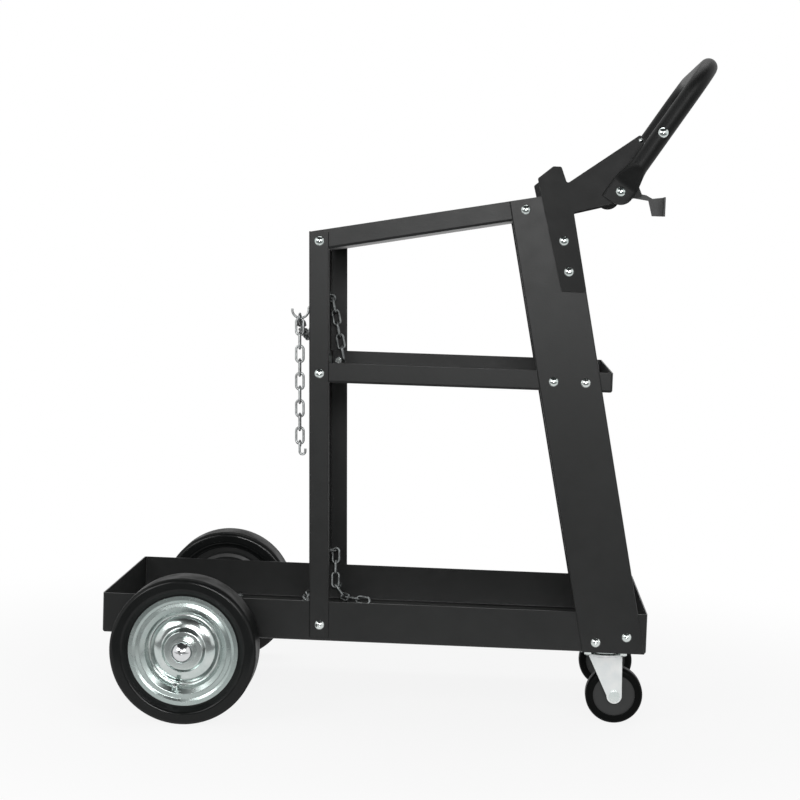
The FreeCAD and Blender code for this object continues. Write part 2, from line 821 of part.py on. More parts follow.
def on_axle(obj, out):
    """Turns a ring about Z onto the axle, with its height pointing outwards."""
    return place(obj, x=size.axle_setback, y=-as_dim(out), z=wheel_radius, axis=(1, 0, 0), angle=90)


def tube_profile(inner, outer, low, high):
    return [(inner, low), (outer, low), (outer, high), (inner, high)]


axle_bore = size.axle_diameter / 2 + size.running_fit
washer_low = hub_inner_end - size.side_play - size.washer_sheet
spacer = revolved("axle_spacer_right", tube_profile(
    axle_bore, size.axle_diameter / 2 + size.spacer_wall, 0, washer_low - ear_outer))
on_axle(spacer, ear_outer)
mirrored(spacer, "axle_spacer_left")

tyre_half = size.tyre_width / 2
tyre_inner = size.rim_radius + size.side_play
tyre_side = [(size.rim_well, size.rim_bead), (tyre_inner, size.rim_bead),
             (tyre_inner, tyre_half - size.bead_drop), (size.bead_radius, tyre_half - size.bead_drop),
             (size.bead_radius + size.bead_run, tyre_half), (wheel_radius, tyre_half)]
tyre = revolved("tyre_right", [(radius, -height) for radius, height in tyre_side] + tyre_side[::-1])
fillet(tyre, size.tyre_shoulder, ring_edge(wheel_radius))
fillet(tyre, size.bead_round, ring_edge(size.bead_radius + size.bead_run))
on_axle(tyre, wheel_middle)
mirrored(tyre, "tyre_left")

rim_face = size.rim_bead + size.rim_sheet
dish_face = rim_face - size.dish_depth
collar_top = size.collar_radius - size.collar_slope
collar_face = rim_face - size.collar_depth + size.collar_rise
rim_curve = [
    (size.rim_radius, rim_face), (size.rim_well - size.side_play, rim_face),
    (size.groove_radius, rim_face - size.groove_depth), (size.ridge_radius, rim_face - size.ridge_depth),
    (size.dish_radius, dish_face), (size.gutter_radius, rim_face - size.gutter_depth),
    (size.dome_radius, rim_face - size.dome_depth), (size.bend_radius, rim_face - size.bend_depth),
    (size.collar_radius, rim_face - size.collar_depth), (collar_top, collar_face),
    (size.hub_radius + size.thread_gap, collar_face)]
rim_back = [(radius, height - size.rim_sheet) for radius, height in reversed(rim_curve)]
rims = {}
for name, side in (("rim_outer", as_dim(1)), ("rim_inner", as_dim(-1))):
    rim = revolved(f"{name}_right", [(radius, side * height) for radius, height in rim_curve + rim_back])
    fillet(rim, size.rim_round, ring_edge(
        size.groove_radius, size.ridge_radius, size.dish_radius, size.gutter_radius, size.dome_radius,
        collar_top))
    fillet(rim, size.dome_round, ring_edge(size.bend_radius))
    fillet(rim, size.collar_round, ring_edge(size.collar_radius))
    on_axle(rim, wheel_middle)
    mirrored(rim, f"{name}_left")
    rims[name] = rim

hub = revolved("wheel_hub_right", tube_profile(
    axle_bore, size.hub_radius, -size.hub_length / 2, size.hub_length / 2))
on_axle(hub, wheel_middle)
mirrored(hub, "wheel_hub_left")


def valve_on(rim):
    """A tyre valve that stands on the slope inside the ridge, cut off where it meets the sheet."""
    doc.recompute()
    spoke = FreeCAD.Rotation(Vector(0, 0, 1), size.valve_angle.value).multVec(Vector(1, 0, 0))
    tilt = math.radians(size.valve_tilt.value)
    axis = Vector(0, 0, math.cos(tilt)) - spoke * math.sin(tilt)
    foot = spoke * ((size.ridge_radius + size.dish_radius).value / 2)
    foot.z = (dish_face - size.rim_sheet).value
    length = size.valve_length.value
    stem = Part.makeCylinder(size.valve_radius.value, length, foot, axis)
    rounded = [edge for edge in stem.Edges if near((edge.CenterOfMass - foot).dot(axis), length)]
    stem = stem.makeFillet(size.valve_radius.value / 3, rounded).cut(rim.Tip.Shape)
    return max(stem.Solids, key=lambda solid: solid.CenterOfMass.z)


valve = group("valve_right", [valve_on(rims["rim_outer"])])
on_axle(valve, wheel_middle)
mirrored(valve, "valve_left")


def ring_on_axle(low):
    """A plain washer on the axle, at a distance from the middle of the cart."""
    outer = Part.makeCylinder(size.washer_radius.value, size.washer_sheet.value)
    return outer.cut(Part.makeCylinder(axle_bore.value, size.washer_sheet.value)), low.value


def both_sides(make, *args):
    """A shape turned outwards on the axle, and its mirror image on the other side."""
    shape, out = make(*args)
    spot = Vector(size.axle_setback.value - centre.value, -out, wheel_radius.value)
    shape.Placement = FreeCAD.Placement(spot, FreeCAD.Rotation(Vector(1, 0, 0), 90))
    return [shape, shape.mirror(Vector(), Vector(0, 1, 0))]


group("axle_washers", both_sides(ring_on_axle, washer_low)
      + both_sides(ring_on_axle, hub_outer_end + size.side_play))


def revolve_face(edges):
    return Part.Face(Part.Wire(edges)).revolve(Vector(), Vector(0, 0, 1), 360)


def dome(radius, rise, bottom, hole=0.0, depth=0.0):
    """A domed head about Z; a blind hole may enter it from below."""
    crown = (radius ** 2 + rise ** 2) / (2 * rise)
    lift = bottom + rise - crown
    bulge = math.asin(radius / crown) / 2
    corner = Vector(radius, 0, bottom)
    on_arc = Vector(crown * math.sin(bulge), 0, lift + crown * math.cos(bulge))
    tip = Vector(0, 0, bottom + rise)
    edges = [Part.Arc(corner, on_arc, tip).toShape()]
    path = [tip, Vector(0, 0, bottom + depth), Vector(hole, 0, bottom + depth),
            Vector(hole, 0, bottom), corner]
    if hole == 0.0:
        path = [tip, Vector(0, 0, bottom), corner]
    edges += [Part.LineSegment(a, b).toShape() for a, b in zip(path, path[1:])]
    return revolve_face(edges)


def axle_cap():
    bore = size.axle_diameter.value / 2 + size.thread_gap.value
    start = hub_outer_end + size.side_play * 2 + size.washer_sheet
    return dome(size.cap_radius.value, size.cap_height.value, 0, bore, size.axle_overhang.value), start.value


group("axle_caps", both_sides(axle_cap))

# Casters

for label_side, turn in (("right", -1), ("left", 1)):
    spot = {"x": swivel_x, "y": as_dim(turn) * swivel_y}
    plate = new_body(f"caster_plate_{label_side}")
    plate_sketch = sketch_on(plate, "XY_Plane")
    plate_half = size.plate_size / 2
    rectangle(plate_sketch, -plate_half, -plate_half, plate_half, plate_half)
    pad(plate, plate_sketch, size.plate_sheet)
    race_sketch = sketch_on(plate, "XY_Plane")
    race_inner = size.ball_ring + size.ball_diameter / 2 + size.ball_gap
    circle(race_sketch, 0, 0, race_inner)
    circle(race_sketch, 0, 0, race_inner + size.race_wall)
    pad(plate, race_sketch, size.race_rim, back=True)
    drill(plate, "XY_Plane", plate_offsets, hole_radius)
    drill(plate, "XY_Plane", [(0, 0)], size.king_radius + size.thread_gap)
    place(plate, z=plate_bottom, **spot)

    head_bottom = fork_top - size.fork_sheet - size.ball_gap - size.king_head_rise
    king = revolved(f"king_pin_{label_side}", [
        (0, 0), (size.king_head, 0),
        (size.king_head, size.king_head_rise), (size.king_radius, size.king_head_rise),
        (size.king_radius, under - size.ball_gap - head_bottom), (0, under - size.ball_gap - head_bottom)])
    place(king, z=head_bottom, **spot)

    ball_radius = size.ball_diameter.value / 2
    balls = []
    for k in range(int(size.ball_count.value)):
        angle = 2 * math.pi * k / size.ball_count.value
        ring = size.ball_ring.value
        balls.append(Part.makeSphere(ball_radius, Vector(ring * math.cos(angle), ring * math.sin(angle), 0)))
    ring_of_balls = group(f"caster_balls_{label_side}", balls)
    place(ring_of_balls, z=fork_top + size.ball_diameter / 2, **spot)

    fork = new_body(f"caster_fork_{label_side}")
    fork_sketch = sketch_on(fork, "XZ_Plane")
    fork_half = size.fork_top_width / 2
    polygon(fork_sketch, [
        (-fork_half, fork_top), (size.caster_trail - size.fork_end, caster_radius),
        (size.caster_trail - size.fork_end, caster_radius - size.fork_end),
        (size.caster_trail + size.fork_end, caster_radius - size.fork_end),
        (size.caster_trail + size.fork_end, caster_radius), (fork_half, fork_top)])
    pad(fork, fork_sketch, size.fork_inside + size.fork_sheet * 2, both=True)
    low_end = (caster_radius - size.fork_end).value
    fillet(fork, size.fork_end - size.thread_gap,
           lambda edge: runs_across(edge) and near(edge.Vertexes[0].Z, low_end))
    disc_sketch = sketch_on(fork, "XY_Plane", fork_top - size.fork_sheet)
    circle(disc_sketch, 0, 0, size.fork_disc)
    pad(fork, disc_sketch, size.fork_sheet)
    gap_sketch = sketch_on(fork, "XZ_Plane")
    rectangle(gap_sketch, -size.plate_size, 0, size.plate_size, fork_top - size.fork_sheet)
    pocket(fork, gap_sketch, size.fork_inside)
    drill(fork, "XZ_Plane", [(size.caster_trail, caster_radius)], size.caster_axle + size.thread_gap)
    drill(fork, "XY_Plane", [(0, 0)], size.king_radius + size.ball_gap)
    place(fork, **spot)

    def on_caster(obj):
        return place(obj, x=swivel_x + size.caster_trail, y=spot["y"], z=caster_radius,
                     axis=(1, 0, 0), angle=90)

    bush_radius = size.caster_axle + size.bush_wall
    wheel_half = size.caster_width / 2
    core_half = wheel_half - size.caster_recess
    tread = revolved(f"caster_tread_{label_side}", tube_profile(
        size.caster_core, caster_radius, -wheel_half, wheel_half))
    fillet(tread, size.caster_round, ring_edge(caster_radius))
    on_caster(tread)
    core = revolved(f"caster_core_{label_side}", tube_profile(
        bush_radius + size.thread_gap, size.caster_core - size.thread_gap, -core_half, core_half))
    on_caster(core)
    bush_half = size.fork_inside / 2 - size.side_play
    bush = revolved(f"caster_bush_{label_side}", tube_profile(
        size.caster_axle + size.running_fit, bush_radius, -bush_half, bush_half))
    on_caster(bush)
    fork_outer = size.fork_inside / 2 + size.fork_sheet
    pin_end = fork_outer + size.caster_nut_height + size.bolt_tail
    pin = revolved(f"caster_axle_{label_side}", [
        (0, -pin_end), (size.caster_axle, -pin_end), (size.caster_axle, fork_outer),
        (size.caster_axle_head, fork_outer), (size.caster_axle_head, fork_outer + size.caster_axle_rise),
        (0, fork_outer + size.caster_axle_rise)])
    on_caster(pin)
    nut = new_body(f"caster_nut_{label_side}")
    nut_sketch = sketch_on(nut, "XY_Plane")
    flats = size.caster_nut_flats / 2
    corner = flats * 2 * tan(as_dim(30))
    polygon(nut_sketch, [(flats, corner / 2), (0, corner), (-flats, corner / 2),
                         (-flats, -corner / 2), (0, -corner), (flats, -corner / 2)])
    pad(nut, nut_sketch, size.caster_nut_height, back=True)
    drill(nut, "XY_Plane", [(0, 0)], size.caster_axle + size.thread_gap)
    place(nut, x=swivel_x + size.caster_trail, y=spot["y"] + fork_outer, z=caster_radius,
          axis=(1, 0, 0), angle=90)

# Bolts and nuts


def bolt(grip):
    """A domed bolt: its head above z = 0, its shank down through the grip and the nut."""
    radius = size.bolt_diameter.value / 2
    length = grip + size.nut_height.value + size.bolt_tail.value
    head = dome(size.head_diameter.value / 2, size.head_rise.value, 0)
    return head.fuse(Part.makeCylinder(radius, length, Vector(0, 0, -length))).removeSplitter()


def hex_nut(grip):
    """A nut below the grip."""
    corner = size.nut_flats.value / math.sqrt(3)
    turns = [k * math.pi / 3 for k in range(7)]
    rim = [Vector(corner * math.sin(turn), corner * math.cos(turn), -grip) for turn in turns]
    block = Part.Face(Part.makePolygon(rim)).extrude(Vector(0, 0, -size.nut_height.value))
    bore = size.bolt_diameter.value / 2 + size.thread_gap.value
    depth = grip + size.nut_height.value
    return block.cut(Part.makeCylinder(bore, depth, Vector(0, 0, -depth)))


def stud(grip):
    """A small rivet with a domed head, flush below its grip."""
    head = dome(size.stud_head.value, size.stud_rise.value, 0)
    return head.fuse(Part.makeCylinder(size.stud_radius.value, grip, Vector(0, 0, -grip))).removeSplitter()


def side_pairs(make, places, outer, grip):
    """Fasteners through the side of the cart, with their heads outside, on both sides."""
    solids = []
    for x, z in places:
        shape = make(grip.value)
        spot = Vector(x.value - centre.value, -outer.value, z.value)
        shape.Placement = FreeCAD.Placement(spot, FreeCAD.Rotation(Vector(1, 0, 0), 90))
        solids += [shape, shape.mirror(Vector(), Vector(0, 1, 0))]
    return solids


def floor_pairs(make, places, grip):
    """Fasteners down through the floor of the bottom tray."""
    solids = []
    for x, y in places:
        shape = make(grip.value)
        shape.Placement = FreeCAD.Placement(
            Vector(x.value - centre.value, y.value, (under + size.tray_sheet).value), FreeCAD.Rotation())
        solids.append(shape)
    return solids


post_grip = size.post_sheet + size.tray_sheet
leg_grip = size.leg_sheet + size.tray_sheet
bracket_grip = size.bracket_sheet + size.leg_sheet
flat_grip = size.flat_sheet + size.bracket_sheet
tube_grip = size.tube_diameter + size.bracket_sheet
for label, make in (("frame_bolts", bolt), ("frame_nuts", hex_nut)):
    group(label, side_pairs(make, post_holes, half + size.post_sheet, post_grip)
          + side_pairs(make, leg_holes, half + size.leg_sheet, leg_grip)
          + side_pairs(make, bracket_holes, bracket_outer, bracket_grip))
for label, make in (("handle_bolts", bolt), ("handle_nuts", hex_nut)):
    group(label, side_pairs(make, handle_holes[:1], bracket_inner + flat_grip, flat_grip)
          + side_pairs(make, handle_holes[1:], bracket_inner + tube_grip, tube_grip))
group("corner_studs", side_pairs(stud, [stud_place], bracket_outer, size.bracket_sheet))
for label, make in (("floor_bolts", bolt), ("floor_nuts", hex_nut)):
    ear_places = floor_bolt_places[len(caster_bolt_places):]
    group(label, floor_pairs(make, caster_bolt_places, size.tray_sheet + size.plate_sheet)
          + floor_pairs(make, ear_places, size.tray_sheet + size.ear_sheet))

# Chains

wire = size.link_wire.value
inner_length = size.link_length.value - 2 * wire
grip_gap = wire + size.link_gap.value
pitch = inner_length - size.link_gap.value


def link_shape():
    """One link in the XY plane, its length along X."""
    bend = (size.link_width.value - wire) / 2
    straight = (size.link_length.value - size.link_width.value) / 2
    solid = None
    for end in (-1, 1):
        rod = Part.makeCylinder(wire / 2, 2 * straight, Vector(-straight, end * bend, 0), Vector(1, 0, 0))
        bow = Part.makeTorus(bend, wire / 2, Vector(), Vector(0, 0, 1), 0, 360, 180)
        bow.rotate(Vector(), Vector(0, 0, 1), -90 * end)
        bow.translate(Vector(end * straight, 0, 0))
        solid = rod.fuse(bow) if solid is None else solid.fuse(rod).fuse(bow)
    return solid.removeSplitter()


one_link = link_shape()


def turned(forward, across):
    """The turn that puts X along forward and Y along across."""
    third = forward.cross(across)
    return FreeCAD.Rotation(forward, across, third, "XYZ")


class Chain:
    """Links hung one in the other, each aimed at the next point of the route."""

    def __init__(self, start, forward, across):
        self.links = []
        self.across = across
        self.add(start, forward)

    def add(self, start, forward):
        self.forward = forward
        self.end = start + forward * (inner_length + wire)
        link = one_link.copy()
        link.Placement = FreeCAD.Placement((start + self.end) * 0.5, turned(forward, self.across))
        self.links.append(link)

    def aim(self, target):
        """The next link lies square to this one and pulls on the bow of its end."""
        forward = (target - self.end).normalize()
        pull = forward - self.across * forward.dot(self.across)
        sideways = pull.Length < 0.5
        pull = self.forward if sideways else pull.normalize()
        start = self.end - pull * grip_gap
        self.across = forward.cross(self.forward if sideways else self.across).normalize()
        self.add(start, forward)

    def run(self, forward, count):
        for _ in range(count):
            self.aim(self.end + forward * pitch)

    def follow(self, route):
        """Walks along straight runs between points, one link at a time."""
        for first, last in zip(route, route[1:]):
            while (last - self.end).Length > pitch / 2 and (last - self.end).dot(last - first) > 0:
                reach = last - self.end
                self.aim(last if reach.Length < pitch else self.end + reach.normalize() * pitch)


def wire_hook(points, bends):
    """A bent wire: straight runs joined by arcs given by their middle points."""
    edges = []
    for first, last, middle_point in zip(points, points[1:], bends):
        if middle_point is None:
            edges.append(Part.LineSegment(first, last).toShape())
        else:
            edges.append(Part.Arc(first, middle_point, last).toShape())
    path = Part.Wire(edges)
    tangent = (points[1] - points[0]).normalize()
    ring = Part.Wire(Part.Circle(points[0], tangent, size.hook_wire.value / 2).toShape())
    return path.makePipeShell([ring], True, True)


down = Vector(0, 0, -1)


def smile(count, reach):
    """The turn between links of a hanging span, from its links and its reach in link pitches."""
    low, high = 1e-6, 2 * math.pi / count
    for _ in range(60):
        turn = (low + high) / 2
        if math.sin(count * turn / 2) / math.sin(turn / 2) > reach:
            low = turn
        else:
            high = turn
    return low


def end_hook(chain, side, away):
    """An S-hook through the last link of a chain: its eye bends to the side, its free end away."""
    along = chain.forward
    bowl = size.hook_bowl.value
    crown = chain.end - along * ((size.hook_wire.value + wire) / 2 + size.link_gap.value)
    shank = size.hook_shank.value

    def spot(down_by, aside):
        return crown + along * down_by + side * aside

    low = spot(bowl + shank, -bowl)
    tip = low + away * 2 * bowl
    return wire_hook(
        [spot(bowl * 2, bowl), spot(bowl, bowl), spot(bowl, -bowl), low, tip, tip - along * bowl],
        [None, crown, None, low + (along + away) * bowl, None])


key_y = (half - size.keyhole_inset).value
wire_gap = size.hook_wire.value / 2 + size.link_gap.value
post_tan = math.tan(math.radians(size.post_lean.value))


def post_face(level):
    """The rear face of the posts at one height, in the frame of the finished cart."""
    return (post_rear(level) - centre).value


# The keeper hook hangs on the lower edge of the near keyhole and carries the chain's corner link.
upper_level = under + size.upper_keyhole
upper_face = post_face(upper_level - size.keyhole_drop)
span_x = upper_face - size.chain_standoff.value
post_middle = upper_face + post_run.value / 2
over = post_run.value / 2 + wire_gap
bowl = size.chain_standoff.value - wire_gap
edge = upper_level.value - size.keyhole_drop.value
bowl_level = edge - size.keeper_leg.value


def keeper_spot(x, z):
    return Vector(x, -key_y, z)


keeper = wire_hook(
    [keeper_spot(post_middle + over, edge - bowl), keeper_spot(post_middle + over, edge),
     keeper_spot(post_middle - over, edge), keeper_spot(post_middle - over, bowl_level),
     keeper_spot(post_middle - over - 2 * bowl, bowl_level),
     keeper_spot(post_middle - over - 2 * bowl, bowl_level + size.keeper_lip.value)],
    [None, keeper_spot(post_middle, edge + over), None,
     keeper_spot(post_middle - over - bowl, bowl_level - bowl), None])
group("chain_keeper", [keeper])

# The upper chain: a corner link in the keeper, a sagging span to the far keyhole and an inner end.
link_bend = (size.link_width.value - wire) / 2
link_straight = (size.link_length.value - size.link_width.value) / 2
corner_level = bowl_level - bowl + (size.hook_wire.value + wire) / 2 + size.link_gap.value - link_bend
corner_link = Vector(span_x, -key_y, corner_level)
slot_rest = Vector(span_x, key_y, edge + size.link_gap.value + size.link_width.value / 2)
slope = ending = 0.0
for _ in range(8):
    forward = Vector(0, math.cos(slope), math.sin(slope))
    first_end = corner_link + forward * (inner_length + wire) / 2
    reach = slot_rest + Vector(0, 1, math.tan(ending)) * grip_gap - first_end
    span_count = math.ceil(reach.Length / pitch)
    span_count += 1 - span_count % 2
    turn = smile(span_count, reach.Length / pitch)
    rise = math.atan2(reach.z, reach.y)
    slope = rise - (span_count - 1) * turn / 2
    ending = rise + (span_count - 1) * turn / 2
upper = Chain(corner_link - forward * (inner_length + wire) / 2, forward, Vector(1, 0, 0).cross(forward))
target = upper.end
for k in range(span_count):
    heading = slope + k * turn
    target = target + Vector(0, math.cos(heading), math.sin(heading)) * pitch
    upper.aim(target)
upper.across = Vector(0, 0, 1)
upper.add(upper.end - upper.forward * (grip_gap / upper.forward.y), Vector(1, 0, 0))
inner_lean = math.radians(size.inner_lean.value)
upper.run(Vector(math.sin(inner_lean), 0, -math.cos(inner_lean)), int(size.inner_links.value))
group("upper_chain", upper.links)

tail_top = corner_link - forward * link_straight + down * (link_bend - grip_gap)
lean = Vector(post_tan, 0, -1).normalize()
tail = Chain(tail_top, lean, lean.cross(Vector(0, 1, 0)))
tail.run(lean, int(size.tail_links.value) - 1)
group("upper_chain_tail", tail.links)
to_post = Vector(-lean.z, 0, lean.x)
group("upper_chain_hook", [end_hook(tail, tail.across.cross(lean), to_post)])
print("tail pivot", [round(c, 2) for c in tail_top + down * grip_gap])

# The lower chain: through the far keyhole, one end forward along the wall, one loose on the platform.
lower_level = under + size.lower_keyhole
lower_face = post_face(lower_level)
rest = (under + size.tray_sheet).value + size.link_width.value / 2 + size.link_gap.value
through = Vector(lower_face - size.lower_standoff.value - grip_gap, key_y,
                 lower_level.value - size.key_rest.value)
front = Chain(through, Vector(1, 0, 0), Vector(0, 1, 0))
middle_end_point = front.end
front.run(Vector(post_tan, -0.15, -1).normalize(), 3)


def laid(corner, steps):
    """A route on the floor from a corner, in link pitches forward, inward and up."""
    return [corner] + [Vector(corner.x + ahead * pitch, corner.y - inward * pitch, rest + up * pitch)
                       for ahead, inward, up in steps]


front.follow(laid(front.end, [(0.4, 0.1, 0.25), (1, 0.6, 0), (3.2, 2.2, 0)]))
back = Chain(middle_end_point, Vector(-1, 0, 0), Vector(0, 1, 0))
back.links.pop()
back.run(down, 3)
back.follow(laid(back.end, [(-0.4, 0.1, 0.25), (-0.9, 0.7, 0), (-1, 1.7, 0), (-0.9, 3.5, 0.1)]))
group("lower_chain", front.links + back.links)
hook_side = (Vector(0, 0, 1) + back.across).cross(back.forward).normalize()
group("lower_chain_hook", [end_hook(back, hook_side, -hook_side)])

# Check and write

doc.recompute()
broken = [obj.Label for obj in doc.Objects if "Invalid" in obj.State or "Error" in obj.State]
broken += [obj.Label for obj in pieces if obj.Shape.isNull() or not obj.Shape.isValid()]
if broken:
    raise RuntimeError(f"broken: {broken}")
os.makedirs("parts", exist_ok=True)
for obj in pieces:
    obj.Shape.exportStep(f"parts/{obj.Label}.step")
print(len(pieces), "pieces written")
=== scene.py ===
import json
import math

import bpy
from mathutils import Matrix, Vector


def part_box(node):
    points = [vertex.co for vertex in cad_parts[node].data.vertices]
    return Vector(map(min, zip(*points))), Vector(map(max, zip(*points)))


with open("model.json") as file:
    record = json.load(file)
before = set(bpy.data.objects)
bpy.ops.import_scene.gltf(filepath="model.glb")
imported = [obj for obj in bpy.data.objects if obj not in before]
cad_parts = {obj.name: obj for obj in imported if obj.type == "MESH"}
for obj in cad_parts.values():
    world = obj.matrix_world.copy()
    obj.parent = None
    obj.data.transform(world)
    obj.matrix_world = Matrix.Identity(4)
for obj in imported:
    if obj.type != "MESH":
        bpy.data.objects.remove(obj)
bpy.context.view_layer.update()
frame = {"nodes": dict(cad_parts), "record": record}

nodes = frame["nodes"]
slotOf = {part["node"]: part["material_slot"] for part in frame["record"]["subparts"]}
rearLow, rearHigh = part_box("tyre_right")
rearAxle = (rearLow + rearHigh) / 2
rearRadius = (rearHigh.z - rearLow.z) / 2
print("frame loaded:", len(nodes), "nodes")


# shader wiring

class Wire:
    def __init__(self, finish, socket):
        self.finish = finish
        self.socket = socket

    def math(self, operation, first, second):
        return self.finish.add("ShaderNodeMath", {"operation": operation}, {0: first, 1: second})

    def __add__(self, other):
        return self.math("ADD", self, other)

    def __radd__(self, other):
        return self.math("ADD", other, self)

    def __sub__(self, other):
        return self.math("SUBTRACT", self, other)

    def __rsub__(self, other):
        return self.math("SUBTRACT", other, self)

    def __mul__(self, other):
        return self.math("MULTIPLY", self, other)

    def __rmul__(self, other):
        return self.math("MULTIPLY", other, self)

    def orMore(self, other):  # the larger of two values
        return self.math("MAXIMUM", self, other)


class Finish:
    def __init__(self, name):
        self.material = bpy.data.materials.new(name)
        self.material.use_nodes = True
        self.tree = self.material.node_tree
        self.skin = self.tree.nodes["Principled BSDF"]
        self.output = self.tree.nodes["Material Output"]

    def add(self, kind, settings, links, out=0):
        node = self.tree.nodes.new(kind)
        for name, value in settings.items():
            setattr(node, name, value)
        for name, value in links.items():
            self.feed(node.inputs[name], value)
        return Wire(self, node.outputs[out])

    def feed(self, socket, value):
        if isinstance(value, Wire):
            self.tree.links.new(value.socket, socket)
        else:
            socket.default_value = value

    def setAll(self, values):
        for name, value in values.items():
            self.feed(self.skin.inputs[name], value)

    def place(self):  # the piece's own coordinates, in metres
        return self.add("ShaderNodeTexCoord", {}, {}, "Object")

    def facing(self):
        return self.add("ShaderNodeNewGeometry", {}, {}, "Normal")

    def vectors(self, operation, values, out="Vector"):
        return self.add("ShaderNodeVectorMath", {"operation": operation}, dict(enumerate(values)), out)

    def noise(self, place, scale, detail=2.0, rough=0.5):
        return self.add("ShaderNodeTexNoise", {},
                        {"Vector": place, "Scale": scale, "Detail": detail, "Roughness": rough}, "Fac")

    def step(self, value, low, high):  # 0 below low, 1 above high, smooth between
        return self.add("ShaderNodeMapRange", {"interpolation_type": "SMOOTHSTEP"},
                        {"Value": value, "From Min": low, "From Max": high}, "Result")

    def mix(self, factor, first, second):
        return self.add("ShaderNodeMix", {"data_type": "RGBA"},
                        {"Factor": factor, "A": first, "B": second}, "Result")

    def bump(self, height, depth, strength):
        return self.add("ShaderNodeBump", {},
                        {"Height": height, "Distance": depth, "Strength": strength}, "Normal")

    def upward(self, low, high):  # 1 on faces that look up
        height = self.add("ShaderNodeSeparateXYZ", {}, {"Vector": self.facing()}, "Z")
        return self.step(height, low, high)

    def edge(self, radius):  # 0 on flat stretches, rising on the bends and cut edges
        rounded = self.add("ShaderNodeBevel", {"samples": 6}, {"Radius": radius}, "Normal")
        return 1.0 - self.vectors("DOT_PRODUCT", (rounded, self.facing()), "Value")

    def fromAxle(self, centre):  # distance from a wheel's axle
        away = self.vectors("SUBTRACT", (self.place(), centre))
        across = self.vectors("MULTIPLY", (away, (1, 0, 1)))
        return self.vectors("LENGTH", (across,), "Value")


# black powder coat on the sheet steel, darker on the handle and its brackets

coatLook = {
    "deep": (0.0066, 0.0072, 0.0070, 1), "worn": (0.0098, 0.0105, 0.0103, 1),
    "dust": (0.046, 0.046, 0.044, 1), "steel": (0.30, 0.30, 0.30, 1),
    "patchScale": 7, "patchBand": (0.3, 0.7), "smudgeScale": 46, "peelScale": 620,
    "peelDepth": 0.00012, "levelBand": (0.6, 0.95), "dustBand": (0.18, 0.42), "dustAmount": 0.45,
    "dustRough": 0.2, "edgeRadius": 0.0011, "edgeBand": (0.02, 0.2), "rubScale": 170,
    "rubBand": (0.46, 0.66), "rubAmount": 0.1, "rough": 0.32, "roughSpread": 0.14, "shine": 0.36,
}
gripLook = {
    **coatLook, "deep": (0.0046, 0.0050, 0.0049, 1), "worn": (0.0070, 0.0075, 0.0074, 1),
    "rough": 0.4, "shine": 0.2,
}


def blackCoat(name, look):
    finish = Finish(name)
    place = finish.place()
    patches = finish.noise(place, look["patchScale"], detail=4)
    smudges = finish.noise(place, look["smudgeScale"], detail=3, rough=0.6)
    peel = finish.noise(place, look["peelScale"])
    drifts = finish.step(smudges * patches, *look["dustBand"])
    settled = finish.upward(*look["levelBand"]) * drifts * look["dustAmount"]
    edge = finish.step(finish.edge(look["edgeRadius"]), *look["edgeBand"])
    rubbed = edge * finish.step(finish.noise(place, look["rubScale"], detail=3), *look["rubBand"])
    colour = finish.mix(finish.step(patches, *look["patchBand"]), look["deep"], look["worn"])
    colour = finish.mix(settled, colour, look["dust"])
    colour = finish.mix(rubbed * look["rubAmount"], colour, look["steel"])
    finish.setAll({
        "Base Color": colour,
        "Roughness": look["rough"] + smudges * look["roughSpread"] + settled * look["dustRough"],
        "Normal": finish.bump(peel, look["peelDepth"], strength=0.5),
        "Specular IOR Level": look["shine"],
    })
    return finish.material


# grey coat on the cable hook

hookLook = {
    "grey": (0.024, 0.025, 0.025, 1), "pale": (0.038, 0.039, 0.039, 1), "bare": (0.2, 0.2, 0.2, 1),
    "patchScale": 90, "peelScale": 700, "peelDepth": 0.0001, "edgeRadius": 0.001,
    "edgeBand": (0.03, 0.25), "edgeAmount": 0.35, "rough": 0.48, "roughSpread": 0.12,
}


def greyCoat(name, look):
    finish = Finish(name)
    place = finish.place()
    patches = finish.noise(place, look["patchScale"], detail=3)
    peel = finish.noise(place, look["peelScale"])
    edge = finish.step(finish.edge(look["edgeRadius"]), *look["edgeBand"])
    colour = finish.mix(patches, look["grey"], look["pale"])
    colour = finish.mix(edge * look["edgeAmount"], colour, look["bare"])
    finish.setAll({
        "Base Color": colour,
        "Roughness": look["rough"] + patches * look["roughSpread"],
        "Normal": finish.bump(peel, look["peelDepth"], strength=0.5),
    })
    return finish.material


# bright zinc on bolts, washers, hubs, axle and caster parts, with duller rings on the outer rims

zincLook = {
    "cool": (0.58, 0.645, 0.63, 1), "warm": (0.70, 0.735, 0.72, 1), "grime": (0.15, 0.155, 0.15, 1),
    "dull": (0.31, 0.37, 0.355, 1), "cloudScale": 38, "cloudBand": (0.3, 0.7), "grainScale": 900,
    "grainDepth": 0.00004, "speckScale": 260, "speckBand": (0.66, 0.78), "speckAmount": 0.22,
    "speckRough": 0.1, "rough": 0.11, "roughSpread": 0.12,
    "ring": (0.043, 0.047), "ringRough": 0.0, "ringDull": 0.0,
}
rimLook = {
    **zincLook, "cool": (0.52, 0.585, 0.57, 1), "warm": (0.63, 0.67, 0.655, 1),
    "ringRough": 0.09, "ringDull": 0.62,
}


